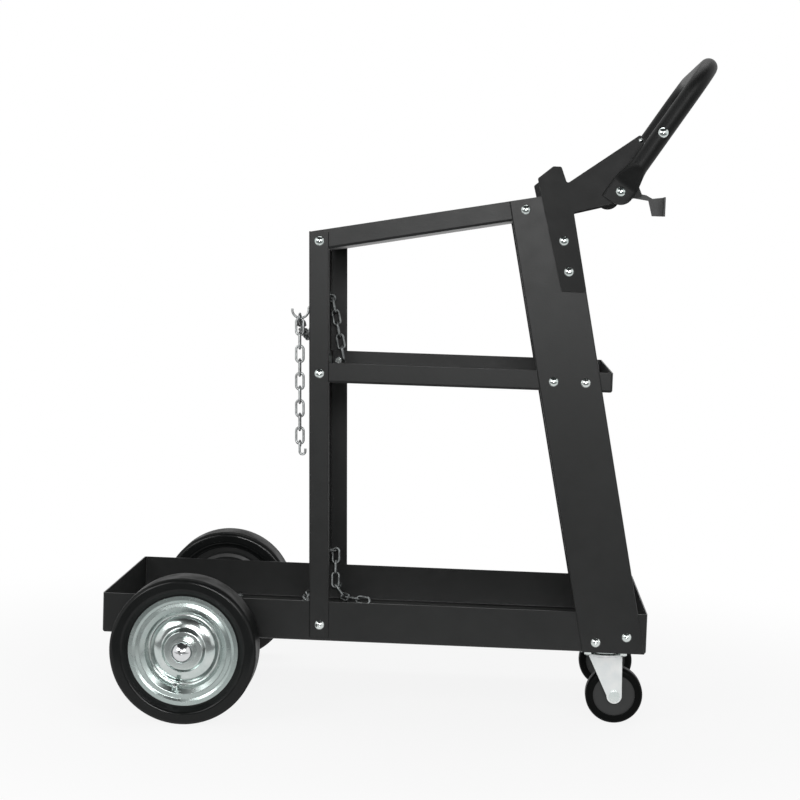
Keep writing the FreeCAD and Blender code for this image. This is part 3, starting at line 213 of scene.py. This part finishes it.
def brightZinc(name, look):
    finish = Finish(name)
    place = finish.place()
    clouds = finish.noise(place, look["cloudScale"], detail=3, rough=0.6)
    grain = finish.noise(place, look["grainScale"], detail=3, rough=0.7)
    specks = finish.step(finish.noise(place, look["speckScale"]), *look["speckBand"])
    # the outer rings of a rim are duller than its dome
    ring = finish.step(finish.fromAxle(rearAxle), *look["ring"])
    colour = finish.mix(finish.step(clouds, *look["cloudBand"]), look["cool"], look["warm"])
    colour = finish.mix(specks * look["speckAmount"], colour, look["grime"])
    colour = finish.mix(ring * look["ringDull"], colour, look["dull"])
    rough = look["rough"] + clouds * look["roughSpread"] + specks * look["speckRough"]
    finish.setAll({
        "Base Color": colour, "Metallic": 1.0,
        "Roughness": rough + ring * look["ringRough"],
        "Normal": finish.bump(grain, look["grainDepth"], strength=0.4),
    })
    return finish.material


# painted light: a paler, less metallic copy of the zinc, so the caster forks read bright in spite of the
# dark cards they reflect; the rubbed edges are wear

litForkLook = {
    "cool": (0.72, 0.75, 0.75, 1), "warm": (0.80, 0.81, 0.80, 1), "rub": (0.42, 0.43, 0.43, 1),
    "cloudScale": 55, "cloudBand": (0.3, 0.7), "grainScale": 1100, "grainDepth": 0.00004,
    "rubScale": 210, "rubBand": (0.6, 0.76), "rubAmount": 0.5, "edgeRadius": 0.0012,
    "edgeBand": (0.02, 0.3), "metal": 0.62, "rough": 0.34, "roughSpread": 0.14,
}


def litPaleZinc(name, look):
    finish = Finish(name)
    place = finish.place()
    clouds = finish.noise(place, look["cloudScale"], detail=4, rough=0.6)
    grain = finish.noise(place, look["grainScale"], detail=3, rough=0.7)
    edge = finish.step(finish.edge(look["edgeRadius"]), *look["edgeBand"])
    rubs = finish.step(finish.noise(place, look["rubScale"], detail=3), *look["rubBand"]) * edge
    # painted light: the pale colours and low metallic stand in for light on the forks
    colour = finish.mix(finish.step(clouds, *look["cloudBand"]), look["cool"], look["warm"])
    colour = finish.mix(rubs * look["rubAmount"], colour, look["rub"])
    finish.setAll({
        "Base Color": colour, "Metallic": look["metal"],
        "Roughness": look["rough"] + clouds * look["roughSpread"],
        "Normal": finish.bump(grain, look["grainDepth"], strength=0.4),
    })
    return finish.material


# zinc on the keeper and the chain tail with its hook; the darker copy on the other chains and the floor
# bolts is painted shade

chainLook = {
    "bright": (0.52, 0.54, 0.54, 1), "dull": (0.28, 0.285, 0.285, 1), "cloudScale": 130,
    "cloudBand": (0.35, 0.7), "grainScale": 1500, "grainDepth": 0.00004, "rough": 0.3, "roughSpread": 0.2,
}
# painted shade: a darker copy of the chain zinc, for chains and bolts that sit in shadow
shadedChainLook = {
    **chainLook, "bright": (0.26, 0.275, 0.275, 1), "dull": (0.12, 0.125, 0.125, 1), "rough": 0.36,
}


def chainZinc(name, look):
    finish = Finish(name)
    place = finish.place()
    clouds = finish.noise(place, look["cloudScale"], detail=3, rough=0.6)
    grain = finish.noise(place, look["grainScale"])
    colour = finish.mix(finish.step(clouds, *look["cloudBand"]), look["bright"], look["dull"])
    finish.setAll({
        "Base Color": colour, "Metallic": 1.0,
        "Roughness": look["rough"] + clouds * look["roughSpread"],
        "Normal": finish.bump(grain, look["grainDepth"], strength=0.5),
    })
    return finish.material


# pressed axle caps

capLook = {
    "bright": (0.78, 0.79, 0.80, 1), "shade": (0.62, 0.63, 0.64, 1), "cloudScale": 120,
    "dentScale": 420, "dentDepth": 0.00005, "rough": 0.1, "roughSpread": 0.12,
}


def pressedCap(name, look):
    finish = Finish(name)
    place = finish.place()
    clouds = finish.noise(place, look["cloudScale"])
    dents = finish.noise(place, look["dentScale"])
    finish.setAll({
        "Base Color": finish.mix(clouds, look["bright"], look["shade"]), "Metallic": 1.0,
        "Roughness": look["rough"] + clouds * look["roughSpread"],
        "Normal": finish.bump(dents, look["dentDepth"], strength=0.4),
    })
    return finish.material


# rubber of the rear tyres, glossy on their sides and dusty on the tread

tyreLook = {
    "black": (0.0042, 0.0048, 0.0047, 1), "grey": (0.0078, 0.0087, 0.0085, 1),
    "dust": (0.012, 0.012, 0.011, 1), "cloudScale": 30, "skinScale": 1300, "skinDepth": 0.00006,
    "dustReach": 0.006, "dustBand": (0.35, 0.75), "dustAmount": 0.6, "dustRough": 0.3,
    "sideFade": (0.0024, 0.0008), "gloss": 0.32, "glossRough": 0.14,
    "rough": 0.34, "roughSpread": 0.12, "shine": 0.05,
}


def tyreRubber(name, look):
    finish = Finish(name)
    place = finish.place()
    axle = finish.fromAxle(rearAxle)
    clouds = finish.noise(place, look["cloudScale"], detail=4, rough=0.6)
    skin = finish.noise(place, look["skinScale"])
    tread = finish.step(axle, rearRadius - look["dustReach"], rearRadius)
    dusty = tread * finish.step(clouds, *look["dustBand"]) * look["dustAmount"]
    fadeStart, fadeEnd = (rearRadius - inside for inside in look["sideFade"])
    side = 1.0 - finish.step(axle, fadeStart, fadeEnd)
    colour = finish.mix(clouds, look["black"], look["grey"])
    colour = finish.mix(dusty, colour, look["dust"])
    finish.setAll({
        "Base Color": colour,
        "Roughness": look["rough"] + clouds * look["roughSpread"] + dusty * look["dustRough"],
        "Normal": finish.bump(skin, look["skinDepth"], strength=0.5),
        "Specular IOR Level": look["shine"],
        "Coat Weight": side * look["gloss"], "Coat Roughness": look["glossRough"],
    })
    return finish.material


# rubber of the caster treads

treadLook = {
    "black": (0.0022, 0.0025, 0.0024, 1), "grey": (0.0078, 0.0087, 0.0085, 1), "greyAmount": 0.2,
    "cloudScale": 70, "skinScale": 1600, "skinDepth": 0.00005,
    "rough": 0.34, "roughSpread": 0.15, "shine": 0.05,
}


def casterRubber(name, look):
    finish = Finish(name)
    place = finish.place()
    clouds = finish.noise(place, look["cloudScale"], detail=4, rough=0.6)
    skin = finish.noise(place, look["skinScale"])
    finish.setAll({
        "Base Color": finish.mix(clouds * look["greyAmount"], look["black"], look["grey"]),
        "Roughness": look["rough"] + clouds * look["roughSpread"],
        "Normal": finish.bump(skin, look["skinDepth"], strength=0.5),
        "Specular IOR Level": look["shine"],
    })
    return finish.material


# moulded plastic of the caster wheels

plasticLook = {
    "black": (0.007, 0.0076, 0.0075, 1), "grey": (0.012, 0.013, 0.0128, 1), "cloudScale": 60,
    "grainScale": 2200, "grainDepth": 0.00004, "rough": 0.4, "roughSpread": 0.15,
}


def mouldedPlastic(name, look):
    finish = Finish(name)
    place = finish.place()
    clouds = finish.noise(place, look["cloudScale"], detail=3)
    grain = finish.noise(place, look["grainScale"], detail=1)
    finish.setAll({
        "Base Color": finish.mix(clouds, look["black"], look["grey"]),
        "Roughness": look["rough"] + clouds * look["roughSpread"],
        "Normal": finish.bump(grain, look["grainDepth"], strength=0.5),
    })
    return finish.material


finishes = {
    "black_paint": blackCoat("blackPowderCoat", coatLook),
    "grey_paint": greyCoat("greyHookCoat", hookLook),
    "zinc": brightZinc("brightZinc", zincLook),
    "bright_cap": pressedCap("pressedCap", capLook),
    "chain_zinc": chainZinc("chainZinc", chainLook),
    "tyre_rubber": tyreRubber("tyreRubber", tyreLook),
    "caster_rubber": casterRubber("casterRubber", treadLook),
    "caster_plastic": mouldedPlastic("casterPlastic", plasticLook),
}
litForkZinc = litPaleZinc("litPaleZinc", litForkLook)
rimZinc = brightZinc("rimZinc", rimLook)
# painted shade: darker zinc for the chains and the floor bolts
shadedZinc = chainZinc("shadedZinc", shadedChainLook)
gripCoat = blackCoat("handlePowderCoat", gripLook)
ownFinish = {  # pieces that look different from the rest of their slot
    "caster_fork_right": litForkZinc, "caster_fork_left": litForkZinc,
    "rim_outer_right": rimZinc, "rim_outer_left": rimZinc,
    "upper_chain": shadedZinc, "lower_chain": shadedZinc,
    "lower_chain_hook": shadedZinc, "floor_bolts": shadedZinc,
    "handle_tube": gripCoat, "handle_bracket_right": gripCoat, "handle_bracket_left": gripCoat,
}
for name, piece in nodes.items():
    piece.data.materials.clear()
    piece.data.materials.append(ownFinish.get(name, finishes[slotOf[name]]))
print("finishes:", len(finishes), "by slot,", len(ownFinish), "pieces with their own")


# floor and reflection cards

def seenDirectly(finish):  # rays from the eye, and those that metal and glass send on
    camera = finish.add("ShaderNodeLightPath", {}, {}, "Is Camera Ray")
    glossy = finish.add("ShaderNodeLightPath", {}, {}, "Is Glossy Ray")
    through = finish.add("ShaderNodeLightPath", {}, {}, "Is Transmission Ray")
    return camera.orMore(glossy.orMore(through))


def flatSheet(name, corners, finish):
    mesh = bpy.data.meshes.new(name)
    mesh.from_pydata(corners, [], [(0, 1, 2, 3)])
    mesh.materials.append(finish.material)
    sheet = bpy.data.objects.new(name, mesh)
    bpy.context.scene.collection.objects.link(sheet)
    return sheet


floorLook = {
    "half": 6.0, "pale": (0.80, 0.80, 0.80, 1), "cloud": (0.77, 0.77, 0.77, 1), "cloudScale": 3,
    "rough": 0.7, "shine": 0.1, "white": (1, 1, 1, 1), "lift": 0.88, "liftBand": (0.4, 1.1),
}


def paleFloor(look):
    finish = Finish("paleFloor")
    place = finish.place()
    clouds = finish.noise(place, look["cloudScale"])
    finish.setAll({
        "Base Color": finish.mix(clouds, look["pale"], look["cloud"]),
        "Roughness": look["rough"], "Specular IOR Level": look["shine"],
    })
    # white to the eye away from the cart, with the shadow kept under it
    away = finish.vectors("LENGTH", (place,), "Value")
    lift = look["lift"] + finish.step(away, *look["liftBand"]) * (1.0 - look["lift"])
    white = finish.add("ShaderNodeEmission", {}, {"Color": look["white"], "Strength": 1.0})
    lit = Wire(finish, finish.skin.outputs[0])
    blend = finish.add("ShaderNodeMixShader", {}, {0: seenDirectly(finish) * lift, 1: lit, 2: white})
    finish.feed(finish.output.inputs["Surface"], blend)
    half = look["half"]
    corners = [(-half, -half, 0), (half, -half, 0), (half, half, 0), (-half, half, 0)]
    floor = flatSheet("floor", corners, finish)


# the card shades are painted reflections, not a real ground, wall or ceiling
cardLook = {
    "half": 3.2, "near": -0.58, "far": -4.4, "waist": 1.1, "top": 3.4, "lift": 0.0006, "rough": 0.9,
    "groundReflection": (0.2, 0.205, 0.205, 1), "paleReflection": (0.72, 0.725, 0.725, 1), "darkReflection": (0.07, 0.073, 0.074, 1),
}


def reflectionCards(look):  # painted reflections: dark and pale sheets round the front of the set, which only shiny faces see
    half, far = look["half"], look["far"]
    line = {  # the cards' edges from the side, as y and z
        "near": (look["near"], look["lift"]), "foot": (far, look["lift"]),
        "waist": (far, look["waist"]), "top": (far, look["top"]), "overhead": (0, look["top"]),
    }
    cards = {
        "groundCard": ("groundReflection", "near", "foot"), "frontCard": ("paleReflection", "foot", "waist"),
        "wallCard": ("darkReflection", "waist", "top"), "ceilingCard": ("darkReflection", "top", "overhead"),
    }
    for name, (shade, start, end) in cards.items():
        finish = Finish(name)
        finish.setAll({"Base Color": look[shade], "Roughness": look["rough"]})
        corners = [(-half, *line[start]), (half, *line[start]), (half, *line[end]), (-half, *line[end])]
        card = flatSheet(name, corners, finish)
        card.visible_camera = card.visible_diffuse = card.visible_shadow = False


# world, softboxes and camera

worldLook = {"white": (1, 1, 1, 1), "fill": 0.18}


class Sky(Finish):
    def __init__(self, world):
        world.use_nodes = True
        self.tree = world.node_tree
        self.skin = self.tree.nodes["Background"]


def whiteWorld(look):
    world = bpy.data.worlds.new("studio")
    bpy.context.scene.world = world
    sky = Sky(world)
    strength = look["fill"] + seenDirectly(sky) * (1.0 - look["fill"])
    sky.setAll({"Color": look["white"], "Strength": strength})


softboxes = {
    "frontBox": {"place": (0.15, -3.6, 1.15), "aim": (0, 0, 0.5), "size": (1.1, 0.5), "watts": 39},
    "keyBox": {"place": (-1.6, -2.25, 1.48), "aim": (0, 0, 0.3), "size": (1.3, 0.8), "watts": 18},
    "fillBox": {"place": (1.1, -2.35, 1.3), "aim": (0, 0, 0.3), "size": (0.7, 0.9), "watts": 13},
    "topBox": {"place": (0.1, 0.5, 2.6), "aim": (0, 0, 0.3), "size": (1.8, 1.2), "watts": 20},
}


def hangSoftbox(name, box):
    light = bpy.data.lights.new(name, "AREA")
    light.shape = "RECTANGLE"
    light.size, light.size_y = box["size"]
    light.energy = box["watts"]
    lamp = bpy.data.objects.new(name, light)
    bpy.context.scene.collection.objects.link(lamp)
    toAim = Vector(box["aim"]) - Vector(box["place"])
    turn = toAim.to_track_quat("-Z", "Y").to_matrix().to_4x4()
    lamp.matrix_world = Matrix.Translation(box["place"]) @ turn


# angles in radians, lens in millimetres
eye = {"place": (0.1135, -2.6726, 0.5866), "yaw": -0.0469, "pitch": 0.0754, "roll": 0.0328, "lens": 93.4}


def setCamera(look):
    yaw, pitch, roll = look["yaw"], look["pitch"], look["roll"]
    ahead = Vector((math.sin(yaw) * math.cos(pitch), math.cos(yaw) * math.cos(pitch), -math.sin(pitch)))
    level = Vector((math.cos(yaw), -math.sin(yaw), 0))
    above = level.cross(ahead)
    right = math.cos(roll) * level + math.sin(roll) * above
    up = math.cos(roll) * above - math.sin(roll) * level
    lens = bpy.data.cameras.new("eye")
    lens.lens = look["lens"]
    camera = bpy.data.objects.new("eye", lens)
    turn = Matrix((right, up, -ahead)).transposed().to_4x4()
    camera.matrix_world = Matrix.Translation(look["place"]) @ turn
    bpy.context.scene.collection.objects.link(camera)
    bpy.context.scene.camera = camera


paleFloor(floorLook)
reflectionCards(cardLook)
whiteWorld(worldLook)
for name, box in softboxes.items():
    hangSoftbox(name, box)
setCamera(eye)
bpy.context.scene.view_settings.view_transform = "Standard"
print("stage set:", len(softboxes), "softboxes")
